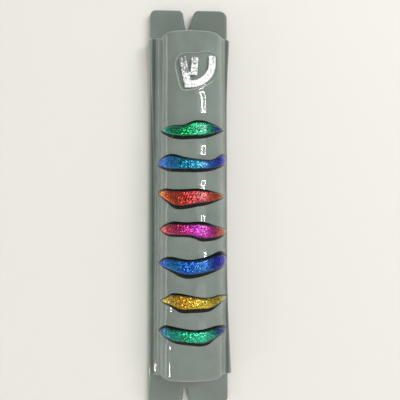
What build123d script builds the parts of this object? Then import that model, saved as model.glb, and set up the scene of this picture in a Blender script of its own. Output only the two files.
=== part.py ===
"""Wall-hung mezuzah case in fused glass.

A flat back plate is nailed to a doorpost through an open notch in each end. A second sheet of
glass, slumped over a mould into a long flat-topped arch, is fused to it by its two flanges, and
the tunnel between the two sheets holds the rolled parchment. The parchment is loaded from the
open top of the tunnel and stands on a soft stopper pushed into the bottom. A clear pad with a
plain block letter shin and seven coloured glass leaves on black glass are fused to the arch.

Millimetres. +Z is up along the doorpost and +X is to the right of someone facing the case. The
back of the plate lies in Y = 0 with its centre at the origin, and the front faces -Y.
"""
import os
from math import asin, atan2, cos, hypot, sin

from build123d import *

# Back plate
case_length = 165.0
plate_width = 32.6
plate_thickness = 3.2
plate_front_round = 1.1
plate_back_round = 0.4
left_corner_radius = 2.4
right_corner_radius = 3.3

# Nail notches: where their straight sides would meet, how far the rounded seat's end lies from the
# plate's end, and the mouth to either side
notch_seat_radius = 0.8
notch_lip_radius = 2.3
top_notch_x = -0.85
top_notch_depth = 8.3
top_notch_mouth_left = 1.75
top_notch_mouth_right = 3.4
bottom_notch_x = -1.55
bottom_notch_depth = 6.7
bottom_notch_mouth_left = 0.95
bottom_notch_mouth_right = 2.1

# Parchment and its clearances
scroll_diameter = 8.4
scroll_core_diameter = 2.8
scroll_length = 100.0
scroll_clearance = 0.4

# Front shell, slumped from one sheet
tab_length = 13.3              # bare plate above and below the shell
ledge_width = 1.05             # bare plate beside the shell at its waist
shell_thickness = 3.0
shell_shift = 0.72             # the shell lies a little to the right of the plate's middle
flange_width = 1.75            # from the waist's edge to the corner that the foot radius rounds
arch_shift = 0.43              # and its arch a little to the right of the shell's middle
wall_lean = 3.2                # how far each wall leans in from its foot to its shoulder
foot_radius = 3.0
shoulder_radius = 6.8
tunnel_foot_radius = 0.8       # where the tunnel's walls meet the back plate
top_left_flare = 2.2           # the waist widens by these at the four corners
top_right_flare = 1.15
bottom_left_flare = 0.1
bottom_right_flare = 1.6
shell_corner_radius = 0.9

# Stopper
stopper_length = 7.0
stopper_clearance = 0.2
stopper_recess = 0.4
tab_pull_width = 6.0
tab_pull_thickness = 1.6
tab_pull_length = 2.6

# Clear pad and letter on the arch, from the shell's top end and the arch's middle
pad_thickness = 1.2
pad_drop = 17.2
pad_shift = 1.85
pad_width = 17.8
pad_height = 16.5
letter_thickness = 0.5
letter_stroke = 2.8
link_stroke = 1.3

# Leaves
leaf_shift = 0.4               # from the arch's middle to the middle of the leaves' span
base_thickness = 1.1
colour_thickness = 0.55
first_leaf_drop = 40.3         # from the shell's top end to the middle of the first leaf
last_leaf_rise = 17.8          # from the shell's bottom end to the middle of the last leaf
leaf_edge_margin = 1.05        # from the shell's waist edge to the leaves' tips
colour_length_share = 0.985    # the coloured layer leaves a black rim above and below
colour_height_share = 0.71
colour_lift = 0.015

# Worked out from the sizes above
shell_length = case_length - 2 * tab_length
shell_top = shell_length / 2
shell_bottom = -shell_length / 2
shell_half_waist = plate_width / 2 - ledge_width
arch_x = shell_shift + arch_shift
arch_half_foot = shell_half_waist - flange_width
tunnel_height = scroll_diameter + 2 * scroll_clearance
flange_front = plate_thickness + shell_thickness
arch_front = flange_front + tunnel_height
wall_angle = atan2(wall_lean, tunnel_height)
leaf_x = arch_x + leaf_shift
leaf_half_span = shell_half_waist - leaf_edge_margin
leaf_spacing = (shell_length - first_leaf_drop - last_leaf_rise) / 6
sweep_half_width = shell_half_waist + top_left_flare + 4

# Each leaf's outline, clockwise: across in half spans from the leaves' middle, up in leaf spacings
# from the leaf's own middle
leaf_outlines = [
    [(0.43, 0.25), (0.70, 0.17), (0.88, 0.09), (0.50, -0.20), (-0.03, -0.28), (-0.62, -0.23),
     (-0.91, 0.01), (-0.57, 0.15), (-0.27, 0.16), (0.09, 0.29)],
    [(-0.38, 0.25), (0.28, 0.13), (0.70, 0.21), (0.95, 0.36), (1.01, 0.22), (0.82, -0.08),
     (0.36, -0.24), (-0.41, -0.25), (-0.86, -0.15), (-1.02, 0.05), (-0.84, 0.25), (-0.66, 0.30)],
    [(0.00, 0.27), (0.28, 0.26), (0.53, 0.21), (0.93, 0.07), (0.55, -0.17), (0.08, -0.28),
     (-0.58, -0.29), (-0.72, -0.17), (-0.93, 0.04), (-0.99, 0.18), (-0.91, 0.26), (-0.66, 0.27)],
    [(0.05, -0.21), (-0.17, -0.16), (-0.57, -0.15), (-0.80, -0.09), (-0.93, 0.08), (-0.74, 0.26),
     (-0.55, 0.31), (-0.25, 0.29), (0.27, 0.30), (0.69, 0.18), (1.01, 0.00), (0.90, -0.14),
     (0.41, -0.28), (0.22, -0.28)],
    [(-0.17, 0.20), (0.13, 0.22), (0.63, 0.38), (0.81, 0.43), (0.96, 0.35), (1.01, 0.19),
     (0.95, 0.00), (0.78, -0.12), (0.36, -0.27), (-0.25, -0.35), (-0.59, -0.19), (-0.95, 0.10),
     (-0.83, 0.24), (-0.63, 0.28)],
    [(-0.56, 0.23), (-0.34, 0.22), (0.26, 0.10), (0.57, 0.11), (0.81, 0.14), (1.00, 0.04),
     (0.80, -0.13), (0.57, -0.28), (-0.03, -0.35), (-0.31, -0.35), (-0.69, -0.16), (-0.92, -0.05),
     (-0.72, 0.14)],
    [(-0.09, -0.28), (-0.41, -0.24), (-0.69, -0.15), (-0.94, 0.11), (-0.81, 0.27), (-0.66, 0.28),
     (-0.19, 0.20), (0.10, 0.17), (0.65, 0.26), (0.86, 0.23), (1.00, 0.04), (0.76, -0.07),
     (0.61, -0.15), (0.45, -0.26)],
]

os.makedirs("parts", exist_ok=True)


def finish(builder, name):
    """Label a finished piece and write its STEP file."""
    builder.part.label = name
    export_step(builder.part, f"parts/{name}.step")


def arch_line(offset, foot_bend=None):
    """The arch's section as seen from below, offset outwards from the shell's front surface.

    Returns the corner points from left to right, and the fillet radii of the four bends. The two
    bends at the feet keep their distance from the shell's unless another radius is given.
    """
    corner_step = offset * (1 - sin(wall_angle)) / cos(wall_angle)
    foot = arch_half_foot + corner_step
    shoulder = arch_half_foot - wall_lean + corner_step
    low = -(flange_front + offset)
    high = -(arch_front + offset)
    points = [
        (arch_x - sweep_half_width, low),
        (arch_x - foot, low),
        (arch_x - shoulder, high),
        (arch_x + shoulder, high),
        (arch_x + foot, low),
        (arch_x + sweep_half_width, low),
    ]
    foot_bend = foot_bend or foot_radius - offset
    shoulder_bend = shoulder_radius + offset
    return points, [foot_bend, shoulder_bend, shoulder_bend, foot_bend]


def arch_band(inner, outer, inner_foot_bend=None):
    """A solid that follows the arch between two offsets, over the whole length of the shell."""
    with BuildPart() as band:
        with BuildSketch(Plane.XY.offset(shell_bottom)):
            with BuildLine():
                inner_points, inner_radii = arch_line(inner, inner_foot_bend)
                outer_points, outer_radii = arch_line(outer)
                FilletPolyline(*inner_points, radius=inner_radii)
                FilletPolyline(*outer_points, radius=outer_radii)
                Line(inner_points[0], outer_points[0])
                Line(inner_points[-1], outer_points[-1])
            make_face()
        extrude(amount=shell_length)
    return band.part


def notch_corners(direction, centre_x, depth, mouth_left, mouth_right):
    """A nail notch's lips and seat, left to right, at the top (1) or bottom (-1) end."""
    end = direction * case_length / 2
    # The straight sides touch the seat's arc and would meet at a tip beyond it
    half_mouth = (mouth_left + mouth_right) / 2
    seat_centre = depth - notch_seat_radius
    half_angle = atan2(half_mouth, seat_centre) - asin(notch_seat_radius / hypot(half_mouth, seat_centre))
    tip = end - direction * (seat_centre + notch_seat_radius / sin(half_angle))
    return [(centre_x - mouth_left, end), (centre_x, tip), (centre_x + mouth_right, end)]


with BuildPart() as back_plate:
    half_width = plate_width / 2
    half_length = case_length / 2
    top_notch = notch_corners(1, top_notch_x, top_notch_depth, top_notch_mouth_left, top_notch_mouth_right)
    bottom_notch = notch_corners(
        -1, bottom_notch_x, bottom_notch_depth, bottom_notch_mouth_left, bottom_notch_mouth_right
    )
    outline = [(-half_width, half_length), *top_notch, (half_width, half_length)]
    outline += [(half_width, -half_length), *reversed(bottom_notch), (-half_width, -half_length)]
    notch_radii = [notch_lip_radius, notch_seat_radius, notch_lip_radius]
    outline_radii = [left_corner_radius, *notch_radii, right_corner_radius]
    outline_radii += [right_corner_radius, *notch_radii, left_corner_radius]
    with BuildSketch(Plane.XZ):
        with BuildLine():
            FilletPolyline(*outline, radius=outline_radii, close=True)
        make_face()
    extrude(amount=plate_thickness)
    fillet(back_plate.faces().sort_by(Axis.Y)[0].edges(), radius=plate_front_round)
    fillet(back_plate.faces().sort_by(Axis.Y)[-1].edges(), radius=plate_back_round)
finish(back_plate, "back_plate")


with BuildPart() as front_shell:
    add(arch_band(-shell_thickness, 0, tunnel_foot_radius))
    left = shell_shift - shell_half_waist
    right = shell_shift + shell_half_waist
    with BuildSketch(Plane.XZ.offset(plate_thickness)) as shell_outline:
        with BuildLine():
            left_edge = Spline(
                (left - top_left_flare, shell_top),
                (left - 0.4 * top_left_flare, 0.62 * shell_top),
                (left, 0.1 * shell_top),
                (left - bottom_left_flare, shell_bottom),
            )
            right_edge = Spline(
                (right + top_right_flare, shell_top),
                (right + 0.15 * top_right_flare, 0.62 * shell_top),
                (right, 0.1 * shell_top),
                (right + 0.4 * bottom_right_flare, 0.7 * shell_bottom),
                (right + bottom_right_flare, shell_bottom),
            )
            Line(left_edge @ 0, right_edge @ 0)
            Line(left_edge @ 1, right_edge @ 1)
        make_face()
        fillet(shell_outline.vertices(), radius=shell_corner_radius)
    extrude(amount=arch_front, mode=Mode.INTERSECT)
finish(front_shell, "front_shell")


def fused_piece(inner, outer, outline):
    """A layer of glass that lies on the arch between two offsets, with the outline seen from the front."""
    with BuildPart() as piece:
        add(arch_band(inner, outer))
        extrude(outline, amount=2 * arch_front, mode=Mode.INTERSECT)
    return piece


# The pad's outline, clockwise, in its half width and half height from its middle
pad_corners = [
    (0.15, 0.99), (0.72, 1.02), (0.95, 0.88), (1.00, 0.45), (0.95, -0.10), (0.72, -0.50), (0.17, -0.80),
    (-0.45, -0.95), (-0.68, -0.90), (-0.80, -0.66), (-0.93, -0.10), (-1.00, 0.28), (-0.94, 0.62),
    (-0.80, 0.84), (-0.50, 0.95),
]
pad_x = arch_x + pad_shift
pad_z = shell_top - pad_drop
with BuildSketch(Plane.XZ) as pad_outline:
    with BuildLine():
        half_w = pad_width / 2
        half_h = pad_height / 2
        Spline(*[(pad_x + half_w * across, pad_z + half_h * up) for across, up in pad_corners], periodic=True)
    make_face()
shin_pad = fused_piece(0, pad_thickness, pad_outline.sketch)
finish(shin_pad, "shin_pad")


# The letter's strokes, in half heights of the pad from its middle
letter_unit = pad_height / 2
left_arm = [(-0.70, 0.69), (-0.43, -0.62)]
middle_arm = [(-0.09, 0.67), (-0.15, -0.20)]
middle_link = [(-0.14, -0.10), (-0.53, -0.17)]
right_arm_and_base = [(0.74, 0.79), (0.74, -0.63), (-0.59, -0.63)]
base_bend = 1.05


def letter_points(stroke):
    """A stroke's centre line on the front plane."""
    return [(pad_x + letter_unit * across, pad_z + letter_unit * up) for across, up in stroke]


with BuildSketch(Plane.XZ) as letter_outline:
    with BuildLine():
        Polyline(*letter_points(left_arm))
    trace(line_width=letter_stroke)
    with BuildLine():
        Polyline(*letter_points(middle_arm))
    trace(line_width=letter_stroke)
    with BuildLine():
        Polyline(*letter_points(middle_link))
    trace(line_width=link_stroke)
    with BuildLine():
        FilletPolyline(*letter_points(right_arm_and_base), radius=letter_unit * base_bend)
    trace(line_width=letter_stroke)
shin_letter = fused_piece(pad_thickness, pad_thickness + letter_thickness, letter_outline.sketch)
finish(shin_letter, "shin_letter")


def leaf_outline(shares, middle_z, length_share, height_share, lift):
    """A leaf's outline on the front plane, shrunk by the two shares and raised by the lift."""
    points = []
    for across, up in shares:
        x = leaf_x + leaf_half_span * length_share * across
        z = middle_z + leaf_spacing * (height_share * up + lift)
        points.append((x, z))
    with BuildSketch(Plane.XZ) as outline:
        with BuildLine():
            Spline(*points, periodic=True)
        make_face()
    return outline.sketch


for index, shares in enumerate(leaf_outlines):
    name = f"leaf_{index + 1}"
    middle_z = shell_top - first_leaf_drop - index * leaf_spacing
    base_shape = leaf_outline(shares, middle_z, 1, 1, 0)
    finish(fused_piece(0, base_thickness, base_shape), f"{name}_base")
    colour_shape = leaf_outline(shares, middle_z, colour_length_share, colour_height_share, colour_lift)
    colour_front = base_thickness + colour_thickness
    finish(fused_piece(base_thickness, colour_front, colour_shape), f"{name}_dichroic")


with BuildPart() as stopper:
    stopper_bottom = shell_bottom + stopper_recess
    stopper_back = plate_thickness + stopper_clearance
    with BuildSketch(Plane.XY.offset(stopper_bottom)):
        with BuildLine():
            tunnel_points, tunnel_radii = arch_line(-shell_thickness - stopper_clearance)
            FilletPolyline(*tunnel_points[1:5], radius=tunnel_radii[1:3])
            Line(tunnel_points[4], tunnel_points[1])
        make_face()
        with Locations((arch_x, -stopper_back)):
            Rectangle(2 * arch_half_foot, tunnel_height, align=(Align.CENTER, Align.MAX), mode=Mode.INTERSECT)
    extrude(amount=stopper_length)
    with BuildSketch(Plane.XY.offset(stopper_bottom)):
        with Locations((arch_x, -stopper_back)):
            Rectangle(tab_pull_width, tab_pull_thickness, align=(Align.CENTER, Align.MAX))
    extrude(amount=-(stopper_recess + tab_pull_length))
finish(stopper, "stopper")


with BuildPart() as parchment_scroll:
    scroll_bottom = stopper_bottom + stopper_length + stopper_clearance
    scroll_y = -(plate_thickness + scroll_clearance + scroll_diameter / 2)
    with BuildSketch(Plane.XY.offset(scroll_bottom)):
        with Locations((arch_x, scroll_y)):
            Circle(scroll_diameter / 2)
            Circle(scroll_core_diameter / 2, mode=Mode.SUBTRACT)
    extrude(amount=scroll_length)
finish(parchment_scroll, "parchment_scroll")
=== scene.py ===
import math

import bmesh
import bpy
import numpy as np
from mathutils import Matrix, Vector, noise
from mathutils.bvhtree import BVHTree


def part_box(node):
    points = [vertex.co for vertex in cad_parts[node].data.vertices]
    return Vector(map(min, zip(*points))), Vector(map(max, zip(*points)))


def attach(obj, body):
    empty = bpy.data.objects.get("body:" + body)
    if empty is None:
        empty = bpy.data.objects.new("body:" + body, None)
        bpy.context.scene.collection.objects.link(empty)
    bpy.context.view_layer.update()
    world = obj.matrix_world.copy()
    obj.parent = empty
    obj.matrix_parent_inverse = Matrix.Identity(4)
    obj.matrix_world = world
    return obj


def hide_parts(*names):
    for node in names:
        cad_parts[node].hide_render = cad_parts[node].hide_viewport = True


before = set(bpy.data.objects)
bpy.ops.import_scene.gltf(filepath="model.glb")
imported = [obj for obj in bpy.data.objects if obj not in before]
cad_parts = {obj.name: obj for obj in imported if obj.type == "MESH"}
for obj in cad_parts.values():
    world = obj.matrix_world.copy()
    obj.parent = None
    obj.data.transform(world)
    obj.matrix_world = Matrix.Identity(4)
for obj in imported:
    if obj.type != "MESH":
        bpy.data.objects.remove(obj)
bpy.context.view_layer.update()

MM = 0.001

# The shell's arch, in metres, with the sizes that the CAD model gives it
ARCH_X = 1.15 * MM
ARCH_HALF_FOOT = 13.5 * MM
WALL_LEAN = 3.2 * MM
FOOT_RADIUS = 3.0 * MM
SHOULDER_RADIUS = 6.8 * MM
TUNNEL_FOOT_RADIUS = 0.8 * MM
SHELL_THICKNESS = 3.0 * MM
BASE_THICKNESS = 1.1 * MM
COLOUR_THICKNESS = 0.55 * MM
PAD_THICKNESS = 1.2 * MM

# What firing does to the glass: rounded rims, a slight crown on the arch, a lip round each leaf
FRONT_RIM_RADIUS = 1.35 * MM
BACK_RIM_RADIUS = 0.5 * MM
CROWN_HEIGHT = 0.3 * MM
CROWN_BEND = 0.025 / MM
CROWN_HALF_WIDTH = 6.5 * MM
CROWN_FADE = 9.5 * MM
MENISCUS_HEIGHT = 0.36 * MM
MENISCUS_REACH = 1.2 * MM
RIPPLE_HEIGHT = 0.022 * MM
# These lines carry painted shade on the shell's glass
# Half the arc between the lines where the flanges bend up into the walls, and how far left it sits
FOOT_CREASE = 19.8 * MM
CREASE_SHIFT = 0.5 * MM

# Each leaf's black base and coloured film, and the pad: rounding of the edges, sink into what is below
BASE_ROUNDING = 1.5 * MM
BASE_SINK = 0.15 * MM
FILM_THICKNESS = 0.42 * MM
FILM_ROUNDING = 1.4 * MM
FILM_SINK = 0.12 * MM
CRACKLE_HEIGHT = 0.035 * MM
PAD_ROUNDING = 1.0 * MM
PAD_LIFT = 0.02 * MM
LETTER_CRINKLE = 0.10 * MM
LEAVES = range(1, 8)

shell_low, shell_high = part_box("front_shell")
plate_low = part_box("back_plate")[0]
FLANGE_FRONT = plate_low.y - SHELL_THICKNESS
ARCH_FRONT = shell_low.y
SHELL_TOP = shell_high.z
SHELL_BOTTOM = shell_low.z


# ---------------------------------------------------------------- the arch's surface

# The curve runs on past both flanges to this half width, in steps this long
CURVE_HALF_WIDTH = 22 * MM
CURVE_STEP = 0.05 * MM


def arch_curve(offset, foot_radius, shoulder_radius):
    """Points and outward normals along the arch at an offset from its front, left to right, by arc length."""
    rise = FLANGE_FRONT - ARCH_FRONT
    lean = math.atan2(WALL_LEAN, rise)
    corner_step = offset * (1 - math.sin(lean)) / math.cos(lean)
    turn = math.pi / 2 - lean
    foot_run = foot_radius * math.tan(turn / 2)
    shoulder_run = shoulder_radius * math.tan(turn / 2)
    wall = math.hypot(WALL_LEAN, rise) - foot_run - shoulder_run
    half_top = ARCH_HALF_FOOT + corner_step - WALL_LEAN - shoulder_run
    flange = CURVE_HALF_WIDTH - ARCH_HALF_FOOT - corner_step - foot_run
    # Heading is the direction of travel, 0 along +X, positive towards the front
    spans = [(flange, 0), (foot_radius * turn, turn), (wall, 0), (shoulder_radius * turn, -turn),
             (2 * half_top, 0), (shoulder_radius * turn, -turn), (wall, 0), (foot_radius * turn, turn),
             (flange, 0)]
    x, y, heading, travelled = 0.0, 0.0, 0.0, 0.0
    lengths, points, headings = [0.0], [(0.0, 0.0)], [0.0]
    for length, bend in spans:
        count = max(2, int(length / CURVE_STEP))
        for _ in range(count):
            heading += bend / count / 2
            x += math.cos(heading) * length / count
            y -= math.sin(heading) * length / count
            heading += bend / count / 2
            travelled += length / count
            lengths.append(travelled)
            points.append((x, y))
            headings.append(heading)
    points = np.array(points)
    headings = np.array(headings)
    points[:, 0] += ARCH_X - (points[0, 0] + points[-1, 0]) / 2
    points[:, 1] += FLANGE_FRONT - offset
    normals = np.stack([-np.sin(headings), -np.cos(headings)], 1)
    return np.array(lengths), points, normals


FRONT_CURVE = arch_curve(0.0, FOOT_RADIUS, SHOULDER_RADIUS)
TUNNEL_CURVE = arch_curve(-SHELL_THICKNESS, TUNNEL_FOOT_RADIUS, SHOULDER_RADIUS - SHELL_THICKNESS)
ARC_LENGTH = FRONT_CURVE[0][-1]
ARC_MIDDLE = ARC_LENGTH / 2


def on_arch(s, z, height, curve=FRONT_CURVE):
    """Points in the frame for arrays of arc length, height up the case and distance off the surface."""
    s, z, height = np.broadcast_arrays(s, z, height)
    lengths, points, normals = curve
    x = np.interp(s, lengths, points[:, 0]) + np.interp(s, lengths, normals[:, 0]) * height
    y = np.interp(s, lengths, points[:, 1]) + np.interp(s, lengths, normals[:, 1]) * height
    return np.stack([x, y, z], -1)


def crown(s):
    """How far the arch's broad face crowns in firing: a shallow arc that fades out down the walls."""
    away = np.abs(s - ARC_MIDDLE)
    arc = CROWN_HEIGHT - CROWN_BEND * away ** 2 / 2
    edge = CROWN_HEIGHT - CROWN_BEND * CROWN_HALF_WIDTH ** 2 / 2
    slope = -CROWN_BEND * CROWN_HALF_WIDTH
    t = np.clip((away - CROWN_HALF_WIDTH) / CROWN_FADE, 0, 1)
    fade = edge * (1 + 2 * t) * (1 - t) ** 2 + slope * CROWN_FADE * t * (1 - t) ** 2
    return np.where(away < CROWN_HALF_WIDTH, arc, fade)


def arc_at_x(x, curve):
    """Arc length of the point at x; x grows steadily along the arch."""
    return np.interp(x, curve[1][:, 0], curve[0])


def node_tree(name):
    """A search tree of a CAD node's triangles."""
    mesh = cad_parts[name].data
    mesh.calc_loop_triangles()
    corners = [v.co.copy() for v in mesh.vertices]
    return BVHTree.FromPolygons(corners, [tuple(t.vertices) for t in mesh.loop_triangles])


# ---------------------------------------------------------------- mesh helpers

def new_piece(name, points, faces, body="root", marks=None):
    """A mesh object riding a body; marks are named numbers kept at its points for the materials."""
    mesh = bpy.data.meshes.new(name)
    mesh.from_pydata([tuple(p) for p in points], [], faces)
    for mark, grid in (marks or {}).items():
        values = np.concatenate([grid.ravel(), grid.ravel()]).astype(np.float32)
        mesh.attributes.new(mark, "FLOAT", "POINT").data.foreach_set("value", values)
    mesh.validate()
    work = bmesh.new()
    work.from_mesh(mesh)
    bmesh.ops.remove_doubles(work, verts=work.verts, dist=1e-6)
    bmesh.ops.dissolve_degenerate(work, edges=work.edges, dist=1e-7)
    bmesh.ops.recalc_face_normals(work, faces=work.faces)
    work.to_mesh(mesh)
    work.free()
    for face in mesh.polygons:
        face.use_smooth = True
    piece = bpy.data.objects.new(name, mesh)
    bpy.context.scene.collection.objects.link(piece)
    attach(piece, body)
    return piece


def sandwich(outer, inner):
    """Points and faces of a closed solid between two grids of points with the same rows and columns."""
    rows, columns = outer.shape[:2]
    points = np.concatenate([outer.reshape(-1, 3), inner.reshape(-1, 3)])
    shift = rows * columns
    faces = []
    for i in range(rows - 1):
        for j in range(columns - 1):
            a = i * columns + j
            d = a + columns
            faces.append((a, a + 1, d + 1, d))
            faces.append((d + shift, d + 1 + shift, a + 1 + shift, a + shift))
    border = list(range(columns))
    border += [i * columns + columns - 1 for i in range(1, rows)]
    border += [(rows - 1) * columns + j for j in range(columns - 2, -1, -1)]
    border += [i * columns for i in range(rows - 2, 0, -1)]
    for k, a in enumerate(border):
        b = border[(k + 1) % len(border)]
        faces.append((b, a, a + shift, b + shift))
    return points, faces


def rounded(inset, radius):
    """How far a rim of that radius has fallen away at a distance inside the edge."""
    t = np.clip(inset / radius, 0, 1)
    return radius * (1 - np.sqrt(np.clip(1 - (1 - t) ** 2, 0, 1)))


def graded(count, edge, steps):
    """Shares from 0 to 1, crowded within edge of both ends."""
    near = edge * (1 - np.cos(np.linspace(0, math.pi / 2, steps + 1)))
    middle = np.linspace(edge, 1 - edge, count)
    return np.concatenate([near[:-1], middle, (1 - near[::-1])[1:]])


def ripple(point, size, seed):
    return noise.noise(Vector(point) / size + Vector((seed, 0, 0)))


# ---------------------------------------------------------------- front shell

def flange_edges(stations):
    """The x of the shell's left and right edges at each height."""
    tree = node_tree("front_shell")
    middle_y = plate_low.y - SHELL_THICKNESS / 2
    left, right = [], []
    for z in stations:
        z = min(max(z, SHELL_BOTTOM + 0.01 * MM), SHELL_TOP - 0.01 * MM)
        left.append(tree.ray_cast(Vector((-0.05, middle_y, z)), Vector((1, 0, 0)))[0].x)
        right.append(tree.ray_cast(Vector((0.05, middle_y, z)), Vector((-1, 0, 0)))[0].x)
    return np.array(left), np.array(right)


def softened(grid, passes):
    """A grid of heights with each averaged with its neighbours, that many times over."""
    for _ in range(passes):
        for axis in (0, 1):
            wide = np.pad(grid, [(1, 1) if axis == side else (0, 0) for side in (0, 1)], mode="edge")
            before, after = (wide[:-2], wide[2:]) if axis == 0 else (wide[:, :-2], wide[:, 2:])
            grid = (before + 2 * grid + after) / 4
    return grid


def make_shell():
    length = SHELL_TOP - SHELL_BOTTOM
    rows = SHELL_BOTTOM + length * graded(300, FRONT_RIM_RADIUS / length, 8)
    left, right = flange_edges(rows)
    columns = graded(150, 0.035, 8)
    z = np.repeat(rows[:, None], len(columns), 1)

    def spread(curve):
        start, stop = arc_at_x(left, curve)[:, None], arc_at_x(right, curve)[:, None]
        return start + (stop - start) * columns[None, :]

    s, tunnel_s = spread(FRONT_CURVE), spread(TUNNEL_CURVE)
    side = np.minimum(s - s[:, :1], s[:, -1:] - s)
    end = np.minimum(z - SHELL_BOTTOM, SHELL_TOP - z)

    def inset(radius):
        short_side = np.clip(radius - side, 0, None)
        short_end = np.clip(radius - end, 0, None)
        return radius - np.hypot(short_side, short_end)

    trees = [node_tree(f"leaf_{n}_base") for n in LEAVES] + [node_tree("shin_pad")]
    flat = on_arch(s, z, 0.0)
    lip = np.zeros(s.shape)
    wave = np.zeros(s.shape)
    for i in range(s.shape[0]):
        for j in range(s.shape[1]):
            point = Vector(flat[i, j])
            found = [t.find_nearest(point, 5 * MENISCUS_REACH)[3] for t in trees]
            near = [d for d in found if d is not None]
            if near:
                lip[i, j] = MENISCUS_HEIGHT * math.exp(-min(near) / MENISCUS_REACH)
            wave[i, j] = RIPPLE_HEIGHT * ripple(point, 9 * MM, 3.0)
    lip = softened(lip, 5)
    outer = on_arch(s, z, crown(s) + lip + wave - rounded(inset(FRONT_RIM_RADIUS), FRONT_RIM_RADIUS))
    inner = on_arch(tunnel_s, z, rounded(inset(BACK_RIM_RADIUS), BACK_RIM_RADIUS), TUNNEL_CURVE)
    # Distances from the cut ends and the foot creases, where the glass gets a painted highlight and painted
    # shade
    foot = np.abs(np.abs(s - ARC_MIDDLE + CREASE_SHIFT) - FOOT_CREASE)
    marks = {"end_mm": end / MM, "foot_mm": foot / MM}
    shell = new_piece("shell_glass", *sandwich(outer, inner), marks=marks)
    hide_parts("front_shell")
    return shell


# ---------------------------------------------------------------- leaves, pad and letter

def outline_on_arch(name, height, count):
    """Where a CAD piece lies on the arch: arc lengths, and its lowest and highest z at each."""
    tree = node_tree(name)

    def span(s):
        point = on_arch(s, 0.0, height)
        down = tree.ray_cast(Vector((point[0], point[1], 0.2)), Vector((0, 0, -1)))[0]
        up = tree.ray_cast(Vector((point[0], point[1], -0.2)), Vector((0, 0, 1)))[0]
        return None if down is None or up is None else (up.z, down.z)

    scan = np.linspace(2 * MM, ARC_LENGTH - 2 * MM, 600)
    inside = [s for s in scan if span(s)]
    step = scan[1] - scan[0]

    def tip(within, beyond):
        for _ in range(24):
            middle = (within + beyond) / 2
            if span(middle):
                within = middle
            else:
                beyond = middle
        return within

    start = tip(inside[0], inside[0] - step)
    finish = tip(inside[-1], inside[-1] + step)
    stations = start + (finish - start) * (1 - np.cos(np.linspace(0, math.pi, count))) / 2
    stations = 0.6 * stations + 0.4 * np.linspace(start, finish, count)
    spans = [span(s) or span(s + 1e-7) or span(s - 1e-7) for s in stations]
    kept = [(s, *p) for s, p in zip(stations, spans) if p]
    table = np.array(kept)
    middles = (table[[0, -1], 1] + table[[0, -1], 2]) / 2
    table[0, 1:] = middles[0]
    table[-1, 1:] = middles[1]
    return table


def distance_to_outline(s, z, table):
    """Distance of every grid point from the closed outline that a table of spans describes."""
    loop = np.concatenate([table[:, [0, 1]], table[::-1][:, [0, 2]]])
    start, stop = loop, np.roll(loop, -1, 0)
    best = np.full(s.shape, 1.0)
    for a, b in zip(start, stop):
        run = b - a
        length = max(run @ run, 1e-18)
        t = np.clip(((s - a[0]) * run[0] + (z - a[1]) * run[1]) / length, 0, 1)
        best = np.minimum(best, np.hypot(s - a[0] - t * run[0], z - a[1] - t * run[1]))
    return best


def dome(distance, height, reach):
    """The height of fired glass at a distance inside its edge."""
    t = np.clip(distance / reach, 0, 1)
    return height * np.sqrt(np.clip(1 - (1 - t) ** 2, 0, 1))


def lens_grid(table, across):
    v = np.sin(np.linspace(-math.pi / 2, math.pi / 2, across))
    middle = (table[:, 1] + table[:, 2]) / 2
    half = (table[:, 2] - table[:, 1]) / 2
    z = middle[:, None] + half[:, None] * v[None, :]
    s = np.repeat(table[:, :1], across, 1)
    return s, z


def make_leaf(number):
    name = f"leaf_{number}"
    base_table = outline_on_arch(f"{name}_base", BASE_THICKNESS / 2, 120)
    s, z = lens_grid(base_table, 36)
    height = dome(distance_to_outline(s, z, base_table), BASE_THICKNESS, BASE_ROUNDING)
    grid_top = on_arch(s, z, crown(s) + height)
    grid_bottom = on_arch(s, z, crown(s) - BASE_SINK)
    base = new_piece(f"{name}_black", *sandwich(grid_top, grid_bottom))
    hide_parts(f"{name}_base")

    colour_table = outline_on_arch(f"{name}_dichroic", BASE_THICKNESS + COLOUR_THICKNESS / 2, 200)
    s, z = lens_grid(colour_table, 64)
    edge = distance_to_outline(s, z, colour_table)
    base_height = dome(distance_to_outline(s, z, base_table), BASE_THICKNESS, BASE_ROUNDING)
    film = dome(edge, FILM_THICKNESS, FILM_ROUNDING)
    flat = on_arch(s, z, 0.0)
    crackle = np.zeros(s.shape)
    for i in range(s.shape[0]):
        for j in range(s.shape[1]):
            point = Vector(flat[i, j])
            fine = noise.fractal(point / (0.55 * MM), 1.0, 2.0, 2)
            crackle[i, j] = fine + 0.8 * ripple(point, 1.6 * MM, 7.0 + number)
    top = base_height + film + crackle * np.clip(film / FILM_THICKNESS, 0, 1) * CRACKLE_HEIGHT
    bottom = base_height - FILM_SINK
    grid_top = on_arch(s, z, crown(s) + top)
    grid_bottom = on_arch(s, z, crown(s) + bottom)
    marks = {"edge_mm": edge / MM}
    colour = new_piece(f"{name}_colour", *sandwich(grid_top, grid_bottom), marks=marks)
    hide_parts(f"{name}_dichroic")
    return base, colour


def make_pad():
    table = outline_on_arch("shin_pad", PAD_THICKNESS / 2, 90)
    s, z = lens_grid(table, 60)
    edge = distance_to_outline(s, z, table)
    grid_top = on_arch(s, z, crown(s) + dome(edge, PAD_THICKNESS, PAD_ROUNDING))
    grid_bottom = on_arch(s, z, crown(s) + PAD_LIFT)
    marks = {"edge_mm": edge / MM}
    pad = new_piece("pad_clear", *sandwich(grid_top, grid_bottom), marks=marks)
    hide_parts("shin_pad")
    return pad


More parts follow.
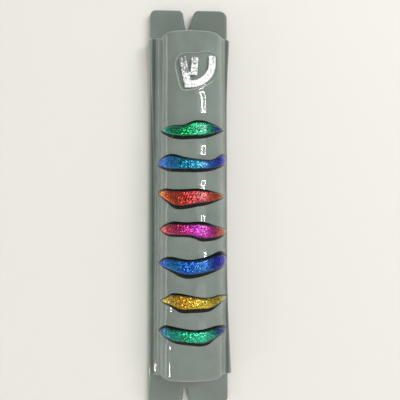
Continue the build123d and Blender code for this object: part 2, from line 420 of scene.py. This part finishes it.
def make_letter():
    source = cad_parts["shin_letter"]
    mesh = source.data.copy()
    mesh.materials.clear()
    letter = bpy.data.objects.new("letter_silver", mesh)
    bpy.context.scene.collection.objects.link(letter)
    work = bmesh.new()
    work.from_mesh(mesh)
    bmesh.ops.remove_doubles(work, verts=work.verts, dist=1e-6)
    work.to_mesh(mesh)
    work.free()
    remesh = letter.modifiers.new("remesh", "REMESH")
    remesh.mode = "VOXEL"
    remesh.voxel_size = 0.16 * MM
    smooth = letter.modifiers.new("smooth", "SMOOTH")
    smooth.iterations = 4
    graph = bpy.context.evaluated_depsgraph_get()
    baked = bpy.data.meshes.new_from_object(letter.evaluated_get(graph))
    letter.modifiers.clear()
    letter.data = baked
    for vertex in baked.vertices:
        co = vertex.co
        lift = float(crown(np.array(ARC_MIDDLE + (co.x - ARCH_X))))
        crinkle = LETTER_CRINKLE * ripple(co, 0.8 * MM, 21.0)
        vertex.co.y -= lift + crinkle
    for face in baked.polygons:
        face.use_smooth = True
    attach(letter, "root")
    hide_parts("shin_letter")
    return letter


# ---------------------------------------------------------------- scroll

def make_scroll():
    low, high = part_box("parchment_scroll")
    centre_x = (low.x + high.x) / 2
    centre_y = (low.y + high.y) / 2
    outer_radius = (high.x - low.x) / 2
    sheet = 0.28 * MM
    turns = 6
    core = 1.35 * MM
    pitch = (outer_radius - core - sheet) / turns
    around = turns * 56
    angles = np.linspace(0, turns * 2 * math.pi, around + 1)
    rows = np.linspace(low.z, high.z, 41)
    grids = []
    for extra in (sheet, 0.0):
        grid = np.zeros((len(rows), len(angles), 3))
        radius = core + pitch * angles / (2 * math.pi) + extra
        for i, z in enumerate(rows):
            grid[i, :, 0] = centre_x + radius * np.cos(angles)
            grid[i, :, 1] = centre_y + radius * np.sin(angles)
            grid[i, :, 2] = z
        grids.append(grid)
    for j, angle in enumerate(angles):
        trim = 0.35 * MM * (0.5 + 0.5 * noise.noise(Vector((angle * 0.9, 4.0, 0))))
        for grid in grids:
            grid[0, j, 2] += trim
            grid[-1, j, 2] -= trim
    scroll = new_piece("scroll_roll", *sandwich(*grids), body="parchment_scroll")
    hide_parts("parchment_scroll")
    return scroll


# ---------------------------------------------------------------- materials

def material(name):
    made = bpy.data.materials.new(name)
    made.use_nodes = True
    nodes = made.node_tree.nodes
    nodes.clear()
    output = nodes.new("ShaderNodeOutputMaterial")
    shader = nodes.new("ShaderNodeBsdfPrincipled")
    made.node_tree.links.new(shader.outputs[0], output.inputs["Surface"])
    return made, made.node_tree, shader


def add_node(tree, kind, **values):
    node = tree.nodes.new(kind)
    for key, value in values.items():
        if hasattr(node, key):
            setattr(node, key, value)
        else:
            node.inputs[key.replace("_", " ")].default_value = value
    return node


def place(tree):
    """Object coordinates in millimetres."""
    coordinates = tree.nodes.new("ShaderNodeTexCoord")
    scale = add_node(tree, "ShaderNodeVectorMath", operation="SCALE", Scale=1 / MM)
    tree.links.new(coordinates.outputs["Object"], scale.inputs[0])
    return scale.outputs[0]


def texture(tree, kind, where, **values):
    node = add_node(tree, kind, **values)
    tree.links.new(where, node.inputs["Vector"])
    return node


def roughen(tree, shader, height, strength, distance):
    bump = add_node(tree, "ShaderNodeBump", Strength=strength, Distance=distance)
    tree.links.new(height, bump.inputs["Height"])
    tree.links.new(bump.outputs["Normal"], shader.inputs["Normal"])


def combine(tree, kind, operation, *terms):
    """A maths node whose inputs are sockets or numbers."""
    node = tree.nodes.new(kind)
    node.operation = operation
    for socket, term in zip(node.inputs, terms):
        if isinstance(term, bpy.types.NodeSocket):
            tree.links.new(term, socket)
        else:
            socket.default_value = term
    return node.outputs[0]


def maths(tree, operation, *terms):
    return combine(tree, "ShaderNodeMath", operation, *terms)


def vector(tree, operation, *terms):
    return combine(tree, "ShaderNodeVectorMath", operation, *terms)


def ranged(tree, value, start, stop, low=0.0, high=1.0):
    """A value that runs from low to high while the one given runs from start to stop."""
    node = tree.nodes.new("ShaderNodeMapRange")
    for socket, limit in zip(("From Min", "From Max", "To Min", "To Max"), (start, stop, low, high)):
        node.inputs[socket].default_value = limit
    tree.links.new(value, node.inputs["Value"])
    return node.outputs[0]


def axes(tree, where):
    node = tree.nodes.new("ShaderNodeSeparateXYZ")
    tree.links.new(where, node.inputs[0])
    return node.outputs


def ramp(tree, factor, stops):
    node = tree.nodes.new("ShaderNodeValToRGB")
    tree.links.new(factor, node.inputs["Fac"])
    elements = node.color_ramp.elements
    while len(elements) > 1:
        elements.remove(elements[-1])
    elements[0].position = stops[0][0]
    elements[0].color = (*stops[0][1], 1)
    for position, colour in stops[1:]:
        elements.new(position).color = (*colour, 1)
    return node.outputs["Color"]


def assign(target, made):
    target.data.materials.clear()
    target.data.materials.append(made)


# How far a leaf's colours wander, as a share of its length, and how steeply its cells are tilted
COLOUR_WANDER = 0.12
CELL_TILT = 0.23


def mark(tree, name):
    node = tree.nodes.new("ShaderNodeAttribute")
    node.attribute_name = name
    return node.outputs["Fac"]


def blend(tree, kind, first, second, share=1.0):
    node = tree.nodes.new("ShaderNodeMix")
    node.data_type = "RGBA"
    node.blend_type = kind
    node.inputs["Factor"].default_value = share
    tree.links.new(first, node.inputs["A"])
    tree.links.new(second, node.inputs["B"])
    return node.outputs["Result"]


def tones(tree, factor, stops):
    """A ramp of greys."""
    return ramp(tree, factor, [(position, (level, level, level)) for position, level in stops])


def grey_glass(name, level=1.0, with_painted_light=False):
    made, tree, shader = material(name)
    where = place(tree)
    cloud = texture(tree, "ShaderNodeTexNoise", where, Scale=0.09, Detail=3.0, Roughness=0.55)
    colour = ramp(tree, cloud.outputs["Fac"], [(0.3, (0.172 * level, 0.208 * level, 0.183 * level)),
                                               (0.7, (0.212 * level, 0.252 * level, 0.224 * level))])
    if with_painted_light:
        # Painted shade along the foot creases; a painted highlight along the cut ends
        crease_shade = tones(tree, mark(tree, "foot_mm"), [(0.0, 0.42), (0.45, 0.50), (0.95, 1.0)])
        rim = tones(tree, mark(tree, "end_mm"), [(0.0, 0.30), (0.25, 0.30), (0.55, 0.0)])
        colour = blend(tree, "ADD", blend(tree, "MULTIPLY", colour, crease_shade), rim)
    tree.links.new(colour, shader.inputs["Base Color"])
    shader.inputs["Roughness"].default_value = 0.06
    shader.inputs["IOR"].default_value = 1.5
    shader.inputs["Subsurface Weight"].default_value = 0.25
    shader.inputs["Subsurface Radius"].default_value = (0.8, 1.0, 0.85)
    shader.inputs["Subsurface Scale"].default_value = 0.8 * MM
    swell = texture(tree, "ShaderNodeTexNoise", where, Scale=0.35, Detail=2.0)
    roughen(tree, shader, swell.outputs["Fac"], strength=0.06, distance=0.05 * MM)
    return made


def black_glass():
    made, tree, shader = material("black_base_glass")
    where = place(tree)
    cloud = texture(tree, "ShaderNodeTexNoise", where, Scale=0.6, Detail=2.0)
    colour = ramp(tree, cloud.outputs["Fac"], [(0.3, (0.002, 0.003, 0.003)), (0.75, (0.005, 0.006, 0.006))])
    tree.links.new(colour, shader.inputs["Base Color"])
    shader.inputs["Roughness"].default_value = 0.08
    shader.inputs["IOR"].default_value = 1.5
    shader.inputs["Specular IOR Level"].default_value = 0.22
    return made


def dichroic(leaf, stops):
    """Metal film, its colour running tip to tip with a painted highlight, broken by a fine crackle."""
    made, tree, shader = material(f"dichroic_{leaf}")
    where = place(tree)
    low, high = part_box(f"leaf_{leaf}_dichroic")
    run = ranged(tree, axes(tree, where)["X"], low.x / MM, high.x / MM)
    wander = texture(tree, "ShaderNodeTexNoise", where, Scale=0.55, Detail=3.0)
    shifted = maths(tree, "MULTIPLY_ADD", wander.outputs["Fac"], 2 * COLOUR_WANDER, run)
    # The film's colours come from this ramp, whose lighter stops right of the middle paint in a highlight
    along = ramp(tree, maths(tree, "SUBTRACT", shifted, COLOUR_WANDER), stops)
    grain = texture(tree, "ShaderNodeTexVoronoi", where, Scale=3.2)
    chance = tree.nodes.new("ShaderNodeSeparateColor")
    tree.links.new(grain.outputs["Color"], chance.inputs[0])
    cells = tones(tree, chance.outputs[0], [(0.0, 0.16), (0.40, 0.42), (0.75, 0.85), (1.0, 1.0)])
    # The film thins out towards the leaf's edge and the black under it shows
    fringe = texture(tree, "ShaderNodeTexNoise", where, Scale=0.9, Detail=3.0)
    margin = maths(tree, "MULTIPLY_ADD", fringe.outputs["Fac"], 0.9, mark(tree, "edge_mm"))
    cover = tones(tree, margin, [(0.38, 0.06), (0.62, 0.35), (1.0, 1.0)])
    tips = tones(tree, run, [(0.0, 1.0), (0.10, 0.7), (0.20, 0.0), (0.82, 0.0), (0.92, 0.8), (1.0, 1.0)])
    film = blend(tree, "MULTIPLY", along, cells)
    covered = blend(tree, "MULTIPLY", film, blend(tree, "LIGHTEN", cover, tips))
    tree.links.new(covered, shader.inputs["Base Color"])
    shader.inputs["Metallic"].default_value = 0.9
    shader.inputs["Roughness"].default_value = 0.24
    shader.inputs["Coat Weight"].default_value = 0.6
    shader.inputs["Coat Roughness"].default_value = 0.15
    # Each cell of the crackle is tilted its own way
    geometry = tree.nodes.new("ShaderNodeNewGeometry")
    tilt = vector(tree, "MULTIPLY_ADD", grain.outputs["Color"], (2 * CELL_TILT,) * 3, (-CELL_TILT,) * 3)
    leaning = vector(tree, "ADD", geometry.outputs["Normal"], tilt)
    tree.links.new(vector(tree, "NORMALIZE", leaning), shader.inputs["Normal"])
    return made


def clear_glass():
    """Clear glass: hardly there, but for a pale green line round its rim that is painted light."""
    made, tree, shader = material("clear_pad_glass")
    where = place(tree)
    cloud = texture(tree, "ShaderNodeTexNoise", where, Scale=0.4, Detail=2.0)
    colour = ramp(tree, cloud.outputs["Fac"], [(0.2, (0.46, 0.56, 0.48)), (0.8, (0.56, 0.66, 0.57))])
    tree.links.new(colour, shader.inputs["Base Color"])
    # Painted edge light: the rim is more opaque and pale, standing for light the rounded edge refracts
    cover = tones(tree, mark(tree, "edge_mm"), [(0.0, 0.30), (0.18, 0.55), (0.45, 0.55), (0.75, 0.06)])
    tree.links.new(cover, shader.inputs["Alpha"])
    shader.inputs["Roughness"].default_value = 0.04
    shader.inputs["IOR"].default_value = 1.5
    roughen(tree, shader, cloud.outputs["Fac"], strength=0.2, distance=0.05 * MM)
    return made


def silver_film():
    made, tree, shader = material("silver_crinkled_film")
    where = place(tree)
    low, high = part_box("shin_letter")
    # The film is whole on the right arm and the base and broken up towards the top left
    across = ranged(tree, axes(tree, where)["X"], low.x / MM, high.x / MM, 0.36, 0.485)
    down = ranged(tree, axes(tree, where)["Z"], low.z / MM, high.z / MM, 0.13, 0.0)
    crinkle = texture(tree, "ShaderNodeTexNoise", where, Scale=1.3, Detail=4.0, Roughness=0.7)
    whole = maths(tree, "ADD", maths(tree, "ADD", across, down), crinkle.outputs["Fac"])
    colour = ramp(tree, whole, [(0.82, (0.12, 0.13, 0.13)), (0.93, (0.42, 0.45, 0.43)),
                                (0.99, (0.98, 0.98, 0.98))])
    tree.links.new(colour, shader.inputs["Base Color"])
    shader.inputs["Metallic"].default_value = 0.25
    shader.inputs["Roughness"].default_value = 0.35
    roughen(tree, shader, crinkle.outputs["Fac"], strength=1.0, distance=0.2 * MM)
    return made


def parchment():
    made, tree, shader = material("parchment_sheet")
    where = place(tree)
    fibre = texture(tree, "ShaderNodeTexNoise", where, Scale=0.8, Detail=6.0, Roughness=0.7)
    colour = ramp(tree, fibre.outputs["Fac"], [(0.3, (0.50, 0.37, 0.20)), (0.55, (0.68, 0.55, 0.35)),
                                               (0.8, (0.78, 0.68, 0.48))])
    tree.links.new(colour, shader.inputs["Base Color"])
    shader.inputs["Roughness"].default_value = 0.72
    shader.inputs["Subsurface Weight"].default_value = 0.15
    shader.inputs["Subsurface Scale"].default_value = 0.5 * MM
    roughen(tree, shader, fibre.outputs["Fac"], strength=0.5, distance=0.05 * MM)
    return made


def silicone():
    made, tree, shader = material("stopper_silicone")
    where = place(tree)
    cloud = texture(tree, "ShaderNodeTexNoise", where, Scale=0.5, Detail=4.0)
    colour = ramp(tree, cloud.outputs["Fac"], [(0.3, (0.42, 0.43, 0.41)), (0.7, (0.52, 0.53, 0.51))])
    tree.links.new(colour, shader.inputs["Base Color"])
    shader.inputs["Roughness"].default_value = 0.5
    shader.inputs["Subsurface Weight"].default_value = 0.4
    shader.inputs["Subsurface Scale"].default_value = 1.0 * MM
    fine = texture(tree, "ShaderNodeTexNoise", where, Scale=4.0, Detail=2.0)
    roughen(tree, shader, fine.outputs["Fac"], strength=0.3, distance=0.03 * MM)
    return made


# Colour stops from each leaf's left tip to its right tip, lighter right of the middle for a painted highlight
DICHROIC_AND_HIGHLIGHT = {
    1: [
        (0.0, (0.05, 0.45, 0.62)), (0.10, (0.02, 0.55, 0.30)), (0.40, (0.01, 0.50, 0.13)),
        (0.60, (0.05, 0.85, 0.42)), (0.76, (0.03, 0.62, 0.30)), (0.87, (0.02, 0.14, 0.36)),
        (1.0, (0.06, 0.07, 0.55)),
    ],
    2: [
        (0.0, (0.04, 0.06, 0.85)), (0.16, (0.03, 0.34, 0.90)), (0.36, (0.01, 0.28, 0.48)),
        (0.58, (0.03, 0.46, 0.75)), (0.74, (0.03, 0.24, 0.85)), (0.86, (0.03, 0.07, 0.75)),
        (1.0, (0.09, 0.05, 0.85)),
    ],
    3: [
        (0.0, (0.95, 0.50, 0.05)), (0.10, (0.90, 0.14, 0.04)), (0.40, (0.80, 0.06, 0.04)),
        (0.66, (0.95, 0.12, 0.14)), (0.88, (0.90, 0.12, 0.03)), (1.0, (0.95, 0.62, 0.08)),
    ],
    4: [
        (0.0, (0.95, 0.42, 0.08)), (0.11, (0.85, 0.08, 0.16)), (0.34, (0.70, 0.04, 0.24)),
        (0.58, (0.85, 0.05, 0.75)), (0.78, (0.82, 0.05, 0.40)), (0.90, (0.85, 0.16, 0.10)),
        (1.0, (0.95, 0.58, 0.10)),
    ],
    5: [
        (0.0, (0.03, 0.05, 0.75)), (0.18, (0.02, 0.26, 0.70)), (0.42, (0.01, 0.14, 0.70)),
        (0.62, (0.03, 0.28, 0.90)), (0.82, (0.02, 0.05, 0.60)), (1.0, (0.08, 0.05, 0.90)),
    ],
    6: [
        (0.0, (0.60, 0.75, 0.16)), (0.10, (0.85, 0.60, 0.06)), (0.36, (0.80, 0.42, 0.02)),
        (0.64, (0.95, 0.72, 0.06)), (0.84, (0.75, 0.58, 0.04)), (1.0, (0.72, 0.85, 0.30)),
    ],
    7: [
        (0.0, (0.03, 0.14, 0.62)), (0.12, (0.02, 0.40, 0.42)), (0.34, (0.01, 0.52, 0.24)),
        (0.64, (0.05, 0.85, 0.48)), (0.82, (0.01, 0.26, 0.26)), (0.92, (0.02, 0.08, 0.50)),
        (1.0, (0.05, 0.05, 0.70)),
    ],
}


# ---------------------------------------------------------------- stage, light and camera

def stage_material():
    """A pale matt backdrop that is seen only from its front."""
    made = bpy.data.materials.new("backdrop")
    made.use_nodes = True
    tree = made.node_tree
    shader = tree.nodes["Principled BSDF"]
    shader.inputs["Base Color"].default_value = (0.745, 0.73, 0.685, 1)
    shader.inputs["Roughness"].default_value = 0.9
    clear = tree.nodes.new("ShaderNodeBsdfTransparent")
    mix = tree.nodes.new("ShaderNodeMixShader")
    geometry = tree.nodes.new("ShaderNodeNewGeometry")
    tree.links.new(geometry.outputs["Backfacing"], mix.inputs["Fac"])
    tree.links.new(shader.outputs[0], mix.inputs[1])
    tree.links.new(clear.outputs[0], mix.inputs[2])
    tree.links.new(mix.outputs[0], tree.nodes["Material Output"].inputs["Surface"])
    return made


def make_stage():
    wall_y = 0.6 * MM
    floor_z = -0.30
    bend = 0.12
    profile = [(wall_y, 0.9), (wall_y, floor_z + bend)]
    for k in range(1, 13):
        angle = k / 12 * math.pi / 2
        profile.append((wall_y - bend * (1 - math.cos(angle)), floor_z + bend * (1 - math.sin(angle))))
    profile.append((-2.0, floor_z))
    points, faces = [], []
    for y, z in profile:
        points += [(-1.5, y, z), (1.5, y, z)]
    for k in range(len(profile) - 1):
        faces.append((2 * k, 2 * k + 2, 2 * k + 3, 2 * k + 1))
    mesh = bpy.data.meshes.new("backdrop")
    mesh.from_pydata(points, [], faces)
    for face in mesh.polygons:
        face.use_smooth = True
    backdrop = bpy.data.objects.new("backdrop", mesh)
    bpy.context.scene.collection.objects.link(backdrop)
    mesh.materials.append(stage_material())
    # The lamp behind the wall still reaches the plate's back
    backdrop.visible_shadow = False
    return backdrop


def area_light(name, where, target, size, power, glossy=True):
    data = bpy.data.lights.new(name, "AREA")
    data.shape = "RECTANGLE"
    data.size, data.size_y = size
    data.energy = power
    lamp = bpy.data.objects.new(name, data)
    bpy.context.scene.collection.objects.link(lamp)
    lamp.matrix_world = facing(where, target)
    lamp.visible_glossy = glossy
    return lamp


def facing(where, target):
    """A matrix at one point whose -Z looks at another."""
    turn = (Vector(target) - Vector(where)).to_track_quat("-Z", "Y").to_matrix().to_4x4()
    return Matrix.Translation(where) @ turn


def toward(azimuth, elevation, distance):
    """A point seen from the case at an angle to the right of its front and above it, in degrees."""
    a, e = math.radians(azimuth), math.radians(elevation)
    return Vector((math.sin(a) * math.cos(e), -math.cos(a) * math.cos(e), math.sin(e))) * distance


# The world's strength as it lights the case and as the case mirrors it
ROOM_LIGHT = 0.54
ROOM_MIRRORED = 0.30
# The hollow lamp, in metres, and the power of each of its four strips
LAMP_WIDTH = 0.12
LAMP_HEIGHT = 0.28
LAMP_STRIP = 0.024
LAMP_POWER = 0.9


def make_lights():
    world = bpy.data.worlds.new("studio")
    bpy.context.scene.world = world
    world.use_nodes = True
    tree = world.node_tree
    background = tree.nodes["Background"]
    background.inputs["Color"].default_value = (0.98, 0.99, 1.0, 1)
    # The room lights the case evenly, but what it mirrors is darker
    path = tree.nodes.new("ShaderNodeLightPath")
    strength = ranged(tree, path.outputs["Is Glossy Ray"], 0.0, 1.0, ROOM_LIGHT, ROOM_MIRRORED)
    tree.links.new(strength, background.inputs["Strength"])

    # A lamp seen as a hollow frame, so that its mirror image in the glass is hollow too
    pose = facing(toward(16.5, 11, 1.5), (0, 0, 0))
    upright, level = (LAMP_STRIP, LAMP_HEIGHT), (LAMP_WIDTH, LAMP_STRIP)
    for name, x, y, size in (("left", -1, 0, upright), ("right", 1, 0, upright),
                             ("low", 0, -1, level), ("high", 0, 1, level)):
        where = pose @ Vector((x * LAMP_WIDTH / 2, y * LAMP_HEIGHT / 2, 0))
        area_light(f"lamp_{name}", where, where - pose.col[2].to_3d(), size, LAMP_POWER)
    area_light("side", (-0.504, -0.302, -0.242), (0, 0, -0.05), (0.028, 0.028), 0.2)
    area_light("screen", toward(15, 0, 1.5), (0, 0, 0), (0.34, 0.95), 1.4)
    area_light("left", (-0.55, -0.05, 0.0), (0, -0.01, 0), (0.12, 0.6), 0.6)
    area_light("soft", (0.42, -0.52, 0.30), (0, 0, 0), (0.30, 0.30), 2.3, glossy=False)
    area_light("rear", (-0.5, 0.8, 0.4), (0, 0, 0), (0.6, 0.6), 7.0, glossy=False)


def make_camera():
    """The viewing position, and where the camera looks, in metres and degrees."""
    data = bpy.data.cameras.new("camera")
    data.sensor_width = 36
    data.lens = 44.7
    camera = bpy.data.objects.new("camera", data)
    bpy.context.scene.collection.objects.link(camera)
    camera.location = (-0.004, -0.210, -0.00765)
    camera.rotation_euler = (math.radians(90 + 2.61), math.radians(0.0), math.radians(-2.444))
    data.clip_start = 0.01
    bpy.context.scene.camera = camera
    return camera


# ---------------------------------------------------------------- build

black = black_glass()
# The shell's glass carries painted shade in its foot creases and a painted highlight along its cut ends
assign(make_shell(), grey_glass("grey_shell_glass", with_painted_light=True))
assign(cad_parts["back_plate"], grey_glass("grey_plate_glass", level=0.9))
for number in LEAVES:
    base, colour = make_leaf(number)
    assign(base, black)
    assign(colour, dichroic(number, DICHROIC_AND_HIGHLIGHT[number]))
assign(make_pad(), clear_glass())
assign(make_letter(), silver_film())
assign(make_scroll(), parchment())
assign(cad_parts["stopper"], silicone())
make_stage()
make_lights()
make_camera()
bpy.context.scene.view_settings.view_transform = "Standard"
